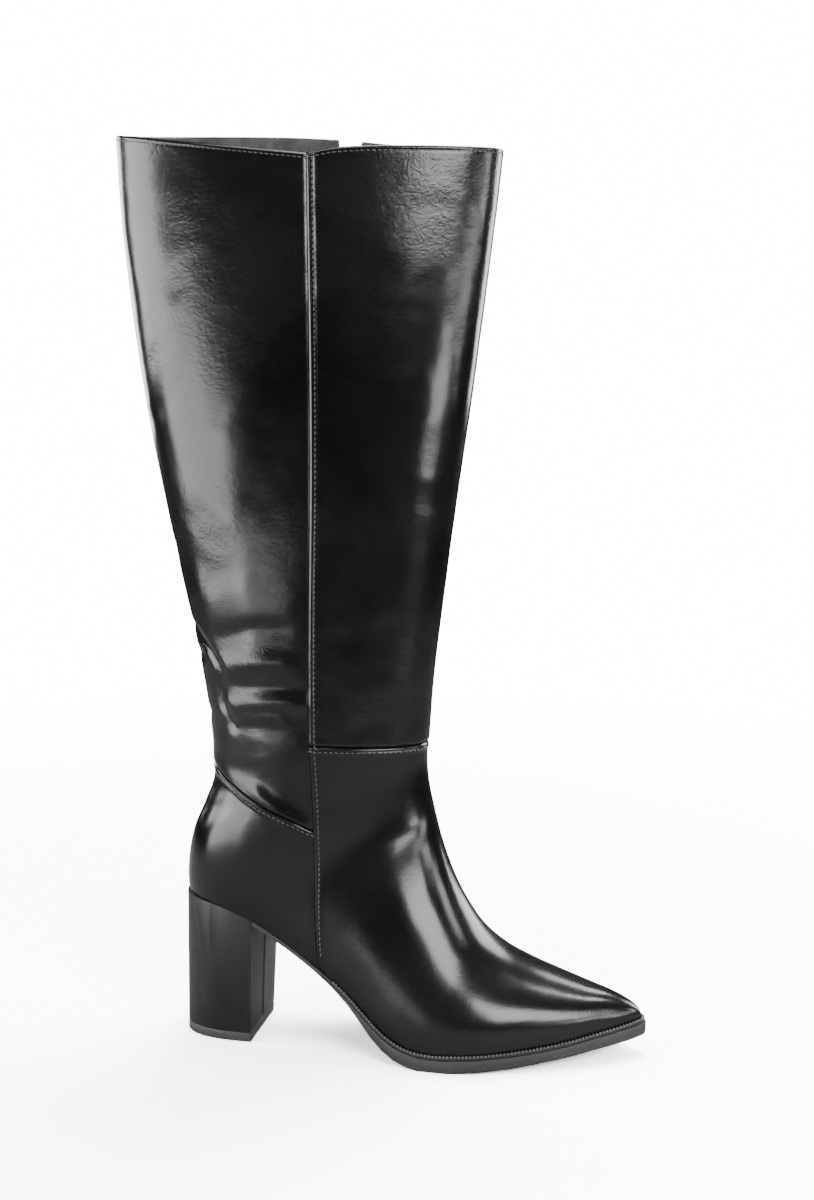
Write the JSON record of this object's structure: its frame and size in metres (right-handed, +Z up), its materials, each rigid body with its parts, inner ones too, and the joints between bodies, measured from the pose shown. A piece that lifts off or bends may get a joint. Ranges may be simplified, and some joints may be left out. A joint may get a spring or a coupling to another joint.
{
  "type": "knee-high boot",
  "caption": "Right knee-high boot with a pointed toe, block heel, side seam and full-length inner zip with a swinging pull.",
  "frame": {"origin": "centre of the heel's bottom face, on the floor plane", "axes": "+X to the toe, +Y to the medial side, +Z up the leg"},
  "size_m": [0.2733, 0.09, 0.4661],
  "materials": {
    "leather": "polished",
    "lining": "matt",
    "outsole": "matt",
    "welt": "satin",
    "heel": "satin",
    "lift": "matt",
    "tape": "woven",
    "coil": "satin",
    "metal": "satin"
  },
  "bodies": {
    "boot": {"shaft": "leather", "upper": "leather", "insole": "lining", "outsole": "outsole", "welt": "welt", "heel_block": "heel", "heel_lift": "lift", "zip_tape_front": "tape", "zip_tape_rear": "tape", "zip_chain": "coil", "zip_slider": "metal"},
    "pull": {"zip_pull": "metal"}
  },
  "joints": [
    {"name": "pull_swing", "type": "hinge", "parent": "boot", "child": "pull", "pos_m": [0.0619, 0.04125, 0.44485], "axis": [1, 0, 0], "range_deg": [-2, 165]}
  ]
}
